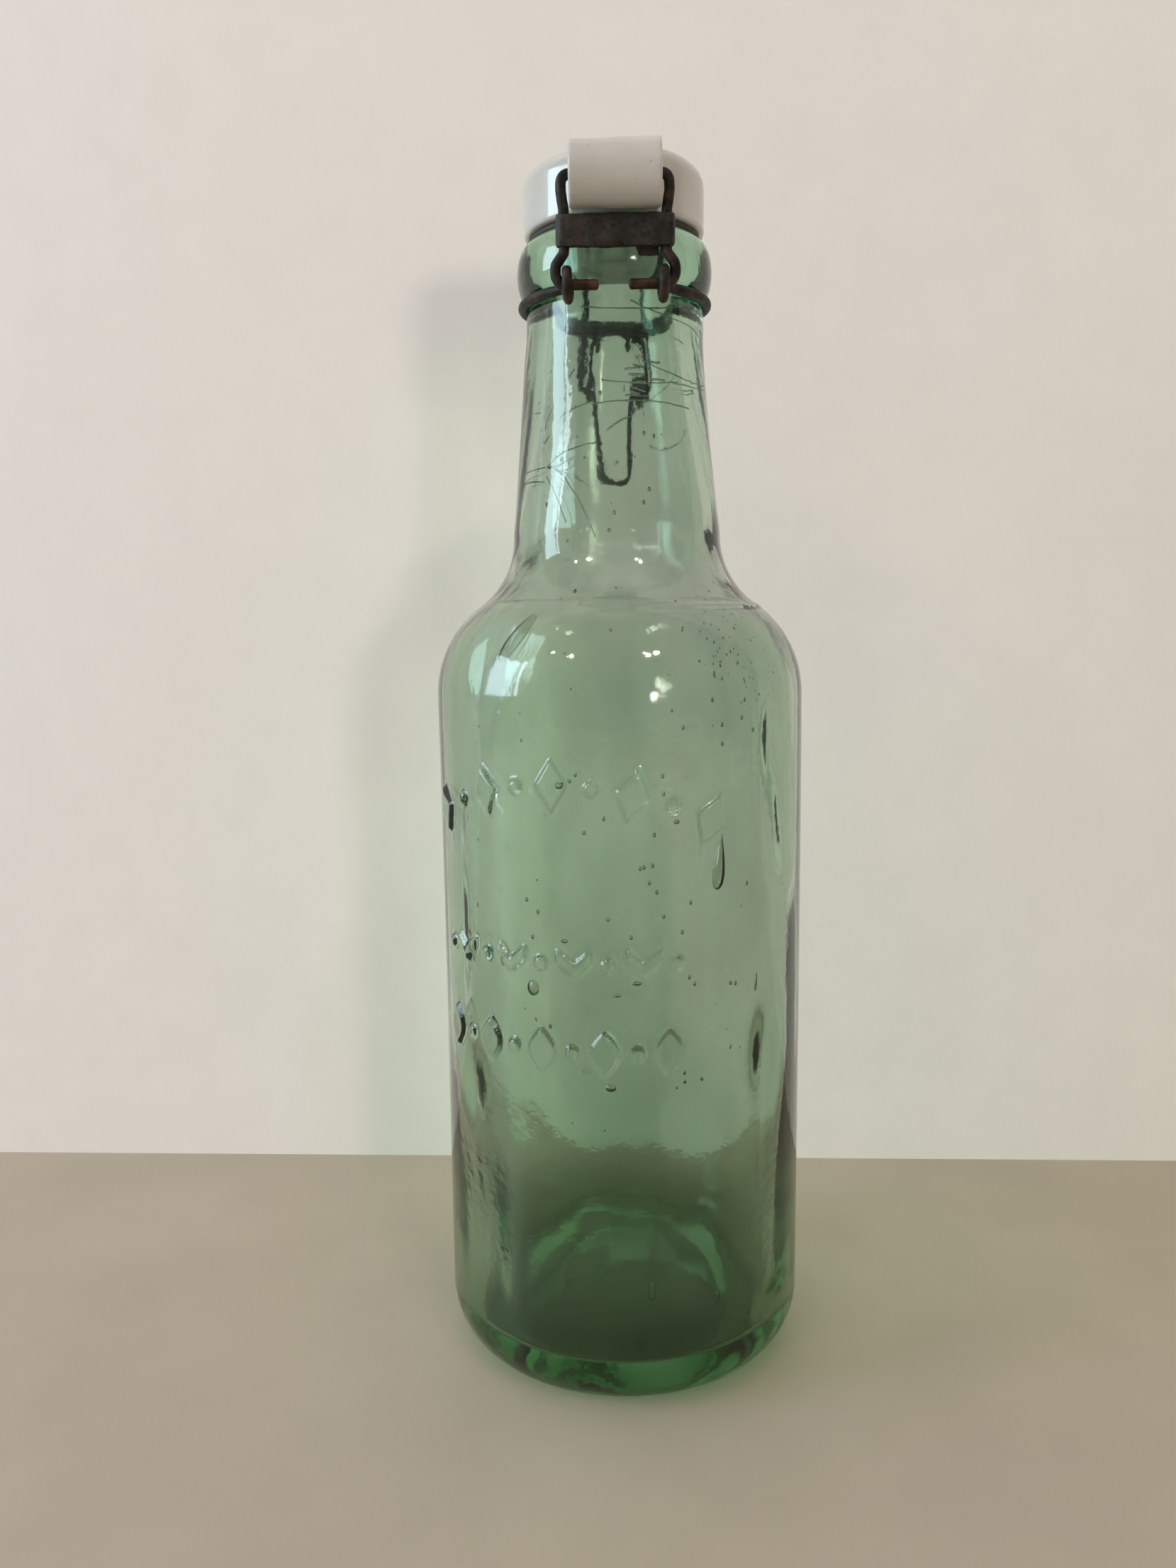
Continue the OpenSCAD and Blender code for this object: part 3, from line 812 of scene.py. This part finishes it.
def make_sheet():
    """Strip of sheet steel wrapped flat round both legs, its ends lapping behind."""
    thick = 0.5
    low = 7.5
    high = 13.9
    tab = 1.7
    rows = 18
    line = sheet_line()
    columns = len(line)
    along = np.gradient(line, axis=0)
    along /= np.linalg.norm(along, axis=1)[:, None]
    normals = np.stack([-along[:, 1], along[:, 0]], 1)
    dents = waves(61, 10, 6, 0.9)
    verts = []
    for layer in (0, 1):
        for share in np.arange(rows + 1) / rows:
            near_edge = 1 - float(smoothstep(0.0, 0.1, min(share, 1 - share)))
            face = layer * thick + (0.32 - 0.64 * layer) * thick * near_edge
            for j, (place, normal) in enumerate(zip(line, normals)):
                foot = low - tab * float(smoothstep(columns - 13, columns - 11, j))
                ragged = 0.14 * math.sin(j * 0.23) + 0.1 * math.sin(j * 0.61 + 1)
                up = foot + (high - foot) * share + ragged * (share - 0.5)
                dent = 0.09 * float(dents(place[0] * 14, up)) * (1 if abs(place[1]) > 1 else 0.3)
                x, out = place - normal * (face + dent)
                verts.append(on_bail(x, out, up))
    size = (rows + 1) * columns
    faces = []
    for i in range(rows):
        for j in range(columns - 1):
            a = i * columns + j
            square = (a, a + 1, a + columns + 1, a + columns)
            faces += [square, tuple(size + index for index in reversed(square))]
    edges = [(j, j + 1) for first in (0, rows * columns) for j in range(first, first + columns - 1)]
    edges += [(j + i * columns, j + (i + 1) * columns) for j in (0, columns - 1) for i in range(rows)]
    faces += [(a, b, b + size, a + size) for a, b in edges]
    piece = new_piece("bail_sheet", (verts, faces), "bail", "bail_plate")
    point_normals_out(piece.data)
    bevel = piece.modifiers.new("edge", "BEVEL")
    bevel.width = 0.12 * MM
    bevel.segments = 2
    bevel.limit_method = "ANGLE"
    bevel.angle_limit = 0.9
    return piece


def make_lever():
    """Its ends in the rear eyes, a coil for the link on each side, and a narrow U handle."""
    handle_long = 24.4
    down = np.array([2.8, -handle_long]) / math.hypot(2.8, handle_long)
    across = np.array([-CRANK_DIR[1], CRANK_DIR[0]])
    coil_degs = math.degrees(math.atan2(across[1], across[0])) - np.arange(0, 361, 12)
    waist = LINK_PIVOT + 8.6 * down
    tip = LINK_PIVOT + handle_long * down

    def half(side):
        crank = [on_plane(side * 5.6, PIVOT), on_plane(side * CRANK_X, PIVOT),
                 on_plane(side * CRANK_X, LINK_PIVOT + across * COIL_R)]
        points = [on_plane(side * 3.7, PIVOT), on_plane(side * 5.6, PIVOT)]
        points += list(arc_path(crank, [1.7])[1:-1])
        points += coil(LINK_PIVOT, COIL_R, coil_degs, side * CRANK_X, side * (CRANK_X - 1.85))
        points += [on_plane(side * 5.6, LINK_PIVOT + across * 1.6 + CRANK_DIR * 2.6),
                   on_plane(side * 4.7, waist - 1.5 * down + across * 0.3), on_plane(side * 4.5, waist)]
        return points

    right = half(1)
    left = half(-1)
    handle = [right[-1], on_plane(4.3, tip), on_plane(-3.2, tip - 0.2 * down), left[-1]]
    path = right + list(arc_path(handle, [4.0, 3.4])[1:-1]) + left[::-1]
    part = tube_mesh(soften(path, 0.4), LATCH_WIRE, seed=9)
    return new_piece("lever_wire", part, "lever", "latch_lever")


def make_link():
    right = [on_plane(LINK_X, BAR), on_plane(LINK_X, LINK_PIVOT), on_plane(6.0, LINK_PIVOT)]
    corners = [point * (-1, 1, 1) for point in right[::-1]] + right
    part = tube_mesh(arc_path(corners, [1.7, 3.2, 3.2, 1.7]), LATCH_WIRE, seed=13)
    return new_piece("link_wire", part, "link", "latch_link")


# ---- materials
class Material:
    """A node material over object coordinates, in metres, with one Principled shader."""

    def __init__(self, name):
        self.data = bpy.data.materials.new(name)
        self.data.use_nodes = True
        self.tree = self.data.node_tree
        self.tree.nodes.clear()
        self.shader = self.node("ShaderNodeBsdfPrincipled")
        self.output = self.node("ShaderNodeOutputMaterial", {"Surface": self.shader.outputs[0]})
        self.place = self.node("ShaderNodeTexCoord").outputs["Object"]

    def feed(self, socket, value):
        """Links another node's output to the socket, or sets the socket's own value or colour."""
        if isinstance(value, bpy.types.NodeSocket):
            self.tree.links.new(value, socket)
        elif socket.type == "RGBA":
            socket.default_value = (*value, 1.0)
        else:
            socket.default_value = value

    def node(self, kind, inputs=None, **settings):
        """A new node with the given settings and inputs, which go by name or by number."""
        made = self.tree.nodes.new(kind)
        for key, value in settings.items():
            setattr(made, key, value)
        for key, value in (inputs or {}).items():
            self.feed(made.inputs[key], value)
        return made

    def stretched(self, scale):
        return self.node("ShaderNodeMapping", {"Vector": self.place, "Scale": scale}).outputs[0]

    def noise(self, scale, detail, rough, place=None, distortion=0.0):
        inputs = {"Scale": scale, "Detail": detail, "Roughness": rough, "Distortion": distortion}
        return self.node("ShaderNodeTexNoise", {"Vector": place or self.place, **inputs}).outputs["Fac"]

    def spread(self, value, low, high, to_low=0, to_high=1):
        inputs = {"Value": value, "From Min": low, "From Max": high, "To Min": to_low, "To Max": to_high}
        return self.node("ShaderNodeMapRange", inputs).outputs[0]

    def times(self, a, b):
        return self.node("ShaderNodeMath", {0: a, 1: b}, operation="MULTIPLY").outputs[0]

    def mix(self, share, a, b):
        """A colour between a and b. Inputs 6 and 7 and output 2 are the node's colour sockets."""
        return self.node("ShaderNodeMix", {0: share, 6: a, 7: b}, data_type="RGBA").outputs[2]

    def bump(self, height, strength, distance, under=None):
        inputs = {"Height": height, "Strength": strength, "Distance": distance}
        if under is not None:
            inputs["Normal"] = under
        return self.node("ShaderNodeBump", inputs).outputs[0]

    def see_through(self, when, colour):
        """Where when is 1, light passes straight on, tinted with the colour."""
        clear = self.node("ShaderNodeBsdfTransparent", {"Color": colour})
        both = self.node("ShaderNodeMixShader", {0: when, 1: self.shader.outputs[0], 2: clear.outputs[0]})
        self.feed(self.output.inputs["Surface"], both.outputs[0])

    def set(self, **inputs):
        for name, value in inputs.items():
            self.feed(self.shader.inputs[name.replace("_", " ")], value)


def scaled(colour, factor):
    return tuple(c * factor for c in colour)


def glass_material():
    """Aqua glass: smears, grime, ripples drawn out upward, painted shade along the relief edges and at the
    heel.
    """
    m = Material("aqua_glass")
    smear = m.noise(55, 3, 0.5, m.stretched((1, 1, 0.35)))
    grime = m.noise(900, 2, 0.6)
    smeared = m.spread(smear, 0.35, 0.7, 0.025, 0.11)
    rough = m.node("ShaderNodeMath", {0: smeared, 1: m.spread(grime, 0.68, 0.8, 0, 0.05)}).outputs[0]
    ripple = m.bump(m.noise(70, 2, 0.45, m.stretched((1, 1, 0.12))), 0.35, 0.0011)
    dimpled = m.bump(m.noise(420, 2, 0.5), 0.16, 0.00025, ripple)
    film = m.spread(m.noise(38, 5, 0.6, m.stretched((1, 1, 0.5))), 0.35, 0.7)
    tint = m.mix(film, (0.73, 0.785, 0.72), (0.60, 0.645, 0.585))
    # painted shade: the glass colour is darkened on the ornament's steep edges, so the relief reads as
    # shaded
    relief_edge = m.node("ShaderNodeAttribute", attribute_name="relief_edge").outputs["Fac"]
    tint = m.mix(m.times(relief_edge, 0.6), tint, (0.27, 0.33, 0.25))
    # painted shade: the glass colour darkens from 30 mm down to the heel, most below 10 mm
    height = m.node("ShaderNodeSeparateXYZ", {0: m.place}).outputs["Z"]
    tint = m.mix(m.spread(height, 0.010, 0.030, 0.88, 0), tint, (0.13, 0.235, 0.10))
    m.set(Base_Color=tint, Roughness=rough, IOR=1.52, Transmission_Weight=1.0, Normal=dimpled)
    m.see_through(m.node("ShaderNodeLightPath").outputs["Is Shadow Ray"], (0.80, 0.82, 0.79))
    absorption = m.node("ShaderNodeVolumeAbsorption", {"Color": (0.30, 0.80, 0.50), "Density": 35.0})
    m.feed(m.output.inputs["Volume"], absorption.outputs[0])
    return m.data


def porcelain_material():
    """White glaze with warm clouds, dark specks and a slow wave."""
    m = Material("white_porcelain")
    cloud = m.noise(60, 4, 0.6)
    speck = m.noise(1500, 2, 0.5)
    base = m.mix(m.spread(cloud, 0.35, 0.7), (0.585, 0.56, 0.53), (0.51, 0.48, 0.435))
    base = m.mix(m.spread(speck, 0.72, 0.76, 0, 0.75), base, (0.24, 0.19, 0.14))
    wave = m.bump(m.noise(140, 3, 0.5), 0.22, 0.0006)
    m.set(Base_Color=base, Roughness=m.spread(cloud, 0.3, 0.8, 0.16, 0.30), Normal=wave)
    m.set(Coat_Weight=0.6, Coat_Roughness=0.07, IOR=1.5)
    return m.data


def iron_material(name, dark, rust, share, scale=1.0):
    """Dark pitted iron with rust over part of it, more of it near the front hinge."""
    m = Material(name)
    patch = m.noise(260 * scale, 6, 0.65)
    fine = m.noise(1800 * scale, 4, 0.7)
    pits = m.noise(700 * scale, 3, 0.6, distortion=0.6)
    base = m.mix(m.spread(fine, 0.3, 0.7), dark, scaled(dark, 2.1))
    base = m.mix(m.times(m.spread(patch, share, share + 0.14), 0.85), base, rust)
    away = m.node("ShaderNodeVectorMath", {0: m.place, 1: on_plane(0, HINGE) * MM}, operation="DISTANCE")
    at_hinge = m.spread(away.outputs["Value"], 0.004, 0.0125, 1, 0)
    at_hinge = m.times(at_hinge, m.spread(patch, 0.36, 0.56, 0.15, 1))
    base = m.mix(m.times(at_hinge, 0.65), base, scaled(rust, 1.8))
    base = m.mix(m.spread(pits, 0.60, 0.72, 0, 0.7), base, (0.008, 0.007, 0.006))
    metallic = m.spread(patch, share - 0.1, share + 0.12, 0.75, 0.15)
    rough = m.spread(fine, 0.25, 0.75, 0.42, 0.72)
    surface = m.bump(fine, 0.45, 0.00008, m.bump(pits, 0.55, 0.00022))
    m.set(Base_Color=base, Metallic=metallic, Roughness=rough, Normal=surface)
    return m.data


def rubber_material():
    m = Material("old_rubber")
    grain = m.noise(420, 5, 0.6)
    base = m.mix(m.spread(grain, 0.35, 0.65), (0.022, 0.022, 0.019), (0.060, 0.055, 0.045))
    rough = m.spread(grain, 0.3, 0.7, 0.55, 0.8)
    m.set(Base_Color=base, Roughness=rough, Normal=m.bump(grain, 0.5, 0.0002))
    return m.data


def stage_material(name, colour, rough, noise_scale, darker):
    m = Material(name)
    cloud = m.spread(m.noise(noise_scale, 4, 0.6), 0.3, 0.7)
    m.set(Base_Color=m.mix(cloud, colour, scaled(colour, 1 - darker)), Roughness=rough)
    return m


def dress(piece, material):
    piece.data.materials.clear()
    piece.data.materials.append(material)


# ---- stage, world, lights and camera, in metres
HALF = 1.5
WALL_Y = 0.0915
WALL_SLOPE = -0.0347
WALL_HIGH = 1.6
MIDDLE = (0, 0, 0.17)


def stage_plane(name, points, material):
    plane = add_object(name, bpy.data.meshes.new(name))
    plane.data.from_pydata(points, [], [(0, 1, 2, 3)])
    dress(plane, material)


def make_stage():
    """A pale floor, and a pale wall close behind the bottle that is there only from the front."""
    floor = stage_material("pale_floor", (0.47, 0.395, 0.305), 0.55, 18, 0.10)
    wall = stage_material("pale_wall", (0.92, 0.865, 0.825), 0.9, 60, 0.03)
    wall.see_through(wall.node("ShaderNodeNewGeometry").outputs["Backfacing"], (1, 1, 1))
    left = WALL_Y - WALL_SLOPE * HALF
    right = WALL_Y + WALL_SLOPE * HALF
    floor_corners = [(-HALF, -HALF, 0), (HALF, -HALF, 0), (HALF, HALF, 0), (-HALF, HALF, 0)]
    wall_corners = [(-HALF, left, 0), (HALF, right, 0), (HALF, right, WALL_HIGH), (-HALF, left, WALL_HIGH)]
    stage_plane("stage_floor", floor_corners, floor.data)
    stage_plane("stage_wall", wall_corners, wall.data)


def make_world():
    """A dim room, brighter towards the upper left."""
    world = bpy.data.worlds.new("room")
    scene.world = world
    world.use_nodes = True
    nodes = world.node_tree.nodes
    links = world.node_tree.links
    direction = nodes.new("ShaderNodeTexCoord")
    toward = nodes.new("ShaderNodeVectorMath")
    toward.operation = "DOT_PRODUCT"
    toward.inputs[1].default_value = (-0.62, -0.05, 0.78)
    share = nodes.new("ShaderNodeMapRange")
    share.inputs["From Min"].default_value = -0.9
    shade = nodes.new("ShaderNodeValToRGB")
    stops = shade.color_ramp.elements
    stops[0].color = (0.018, 0.017, 0.015, 1)
    stops[1].color = (0.50, 0.485, 0.46, 1)
    stops.new(0.45).color = (0.17, 0.163, 0.152, 1)
    background = nodes["Background"]
    background.inputs["Strength"].default_value = 0.87
    links.new(direction.outputs["Generated"], toward.inputs[0])
    links.new(toward.outputs["Value"], share.inputs["Value"])
    links.new(share.outputs[0], shade.inputs[0])
    links.new(shade.outputs[0], background.inputs["Color"])


def at(azimuth, elevation, distance, level=MIDDLE[2]):
    """A place so far away, azimuth degrees to the right of the front and elevation degrees up."""
    a = math.radians(azimuth)
    e = math.radians(elevation)
    return (distance * math.sin(a) * math.cos(e), -distance * math.cos(a) * math.cos(e),
            level + distance * math.sin(e))


def area_light(name, place, size, power, colour, target=MIDDLE):
    """A round light for one size, or a rectangular one for a pair of sizes."""
    light = bpy.data.lights.new(name, "AREA")
    if isinstance(size, tuple):
        light.shape = "RECTANGLE"
        light.size, light.size_y = size
    else:
        light.shape = "DISK"
        light.size = size
    light.energy = power
    light.color = colour
    obj = add_object(name, light)
    obj.location = place
    obj.rotation_mode = "QUATERNION"
    obj.rotation_quaternion = (Vector(target) - Vector(place)).to_track_quat("-Z", "Y")
    return obj


def make_lights():
    """A soft ceiling, two keys from the right, a cool window on the left and three small lamps."""
    warm = (1.0, 0.93, 0.87)
    cool = (0.78, 0.91, 1.0)
    ceiling_colour = (1.0, 0.94, 0.885)
    ceiling = area_light("ceiling", (-0.1, -0.42, 1.85), (1.5, 1.1), 5.2, ceiling_colour, (0, 0.05, 0.15))
    low_key = area_light("low_key", at(21, 2, 1.35, 0.19), 0.14, 3.3, warm)
    ceiling.visible_glossy = False
    low_key.visible_glossy = False
    area_light("high_key", at(29, 44, 1.6), 0.10, 2.1, warm)
    area_light("window_wide", at(-76, 18, 1.7), (1.0, 1.0), 1.5, cool)
    area_light("window_strip", at(-79, 16, 1.6), (0.55, 0.80), 12.0, (0.62, 0.85, 1.0))
    area_light("window_edge", at(-66, 16, 1.6), (0.07, 0.8), 1.8, cool)
    for i, place in enumerate([at(-50, 42, 1.6), at(-31, 41, 1.7), at(20, 43, 1.5)]):
        area_light(f"lamp{i}", place, 0.09, 1.0, (1.0, 0.90, 0.75))


def make_camera():
    """Close to the bottle, level with its shoulder, looking a little down and slightly rolled."""
    place = Vector((-0.0078, -0.29568, 0.17644))
    pitch = math.radians(7.3)
    roll = math.radians(0.786)
    turn = Matrix.Rotation(math.radians(0.8), 3, "Z")
    lens = bpy.data.cameras.new("camera")
    lens.sensor_width = 36
    lens.lens = 27.667
    lens.clip_start = 0.01
    lens.clip_end = 20
    camera = add_object("camera", lens)
    scene.camera = camera
    look = Matrix.Rotation(math.pi / 2 - pitch, 3, "X") @ Matrix.Rotation(-roll, 3, "Z")
    camera.rotation_mode = "QUATERNION"
    camera.rotation_quaternion = (turn @ look).to_quaternion()
    camera.location = turn @ place


def set_light_paths():
    """Enough bounces for light to pass both walls of the glass, and plain colours."""
    scene.view_settings.view_transform = "Standard"
    scene.view_settings.look = "None"
    cycles = scene.cycles
    cycles.max_bounces = 24
    cycles.transmission_bounces = 20
    cycles.glossy_bounces = 6
    cycles.diffuse_bounces = 4
    cycles.transparent_max_bounces = 24
    cycles.caustics_refractive = True
    cycles.blur_glossy = 0.5


# ---- build
glass = make_glass()
cap = make_cap()
seal = make_seal()
collar = make_collar()
bail = make_bail()
sheet = make_sheet()
lever = make_lever()
link = make_link()

dress(glass, glass_material())
dress(cap, porcelain_material())
dress(seal, rubber_material())
rusty_wire = iron_material("rusty_wire", (0.017, 0.015, 0.013), (0.075, 0.032, 0.015), 0.53)
for wire in (collar, bail, lever, link):
    dress(wire, rusty_wire)
dress(sheet, iron_material("dark_sheet", (0.025, 0.0235, 0.021), (0.050, 0.030, 0.021), 0.56, 0.8))

make_stage()
make_world()
make_lights()
make_camera()
set_light_paths()
